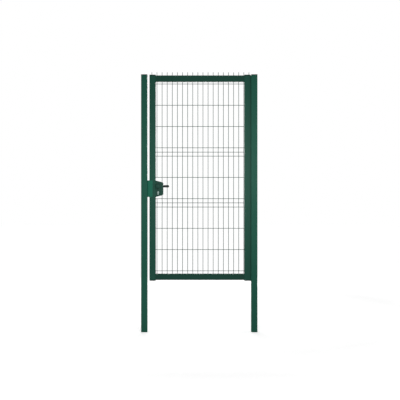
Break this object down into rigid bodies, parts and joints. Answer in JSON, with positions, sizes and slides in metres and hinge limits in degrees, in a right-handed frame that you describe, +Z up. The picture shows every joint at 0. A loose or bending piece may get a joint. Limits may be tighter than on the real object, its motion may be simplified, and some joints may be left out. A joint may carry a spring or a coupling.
{
  "type": "wicket gate",
  "caption": "Steel wicket gate: a hinged tube-framed leaf with a folded welded-wire panel, a lock with a lever behind and a knob in front, hung between square posts.",
  "frame": {"origin": "centre of the hinge post's foot", "axes": "+X from the latch post to the hinge post, +Y from the front to the back, where the leaf opens, +Z up along the posts"},
  "size_m": [1.13, 0.147, 2.533],
  "materials": {
    "post_coat": "moss green powder coat, satin",
    "frame_coat": "moss green powder coat, satin",
    "rail_coat": "moss green powder coat, satin, a darker shade on the rails and the closing strip",
    "keep_coat": "brighter green powder coat, satin",
    "wire_coat": "green coat over galvanised wire",
    "case_coat": "green powder coat, satin",
    "cap_plastic": "dark green moulded plastic",
    "lever_black": "black polyamide, fine grain",
    "lock_steel": "stainless steel, brushed",
    "key_steel": "nickel-plated brass, satin",
    "pin_steel": "zinc-plated steel"
  },
  "bodies": {
    "posts": {"hinge_post": "post_coat", "hinge_post_cap": "cap_plastic", "latch_post": "post_coat", "latch_post_cap": "cap_plastic", "keep_plate": "keep_coat", "closing_strip": "rail_coat", "top_pintle": "post_coat", "top_pin": "pin_steel", "bottom_pintle": "post_coat", "bottom_pin": "pin_steel"},
    "leaf": {"hinge_stile": "frame_coat", "latch_stile": "frame_coat", "top_rail": "rail_coat", "bottom_rail": "rail_coat", "hinge_stile_top_cap": "cap_plastic", "hinge_stile_bottom_cap": "cap_plastic", "latch_stile_top_cap": "cap_plastic", "latch_stile_bottom_cap": "cap_plastic", "wire_panel": "wire_coat", "top_knuckle": "frame_coat", "bottom_knuckle": "frame_coat", "lock_case": "case_coat", "faceplate": "lock_steel", "key_cylinder": "key_steel", "dead_bolt": "lock_steel", "front_rose": "case_coat", "back_rose": "lever_black", "front_knob": "case_coat"},
    "lever": {"back_lever": "lever_black", "spindle": "lock_steel"},
    "latch": {"latch_bolt": "lock_steel"}
  },
  "joints": [
    {"name": "leaf_hinge", "type": "hinge", "parent": "posts", "child": "leaf", "pos_m": [-0.033, 0.04, 1.5], "axis": [0, 0, -1], "range_deg": [0, 110]},
    {"name": "lever_turn", "type": "hinge", "parent": "leaf", "child": "lever", "pos_m": [-0.935, 0.01, 1.418], "axis": [0, 1, 0], "range_deg": [0, 40], "stiffness_Nm_per_rad": 0.5, "springref_deg": -28.65},
    {"name": "latch_slide", "type": "slide", "parent": "leaf", "child": "latch", "axis": [1, 0, 0], "range_m": [0, 0.017]}
  ],
  "couplings": [
    {"joint": "latch_slide", "follows": "lever_turn", "m_per_rad": 0.02434}
  ]
}
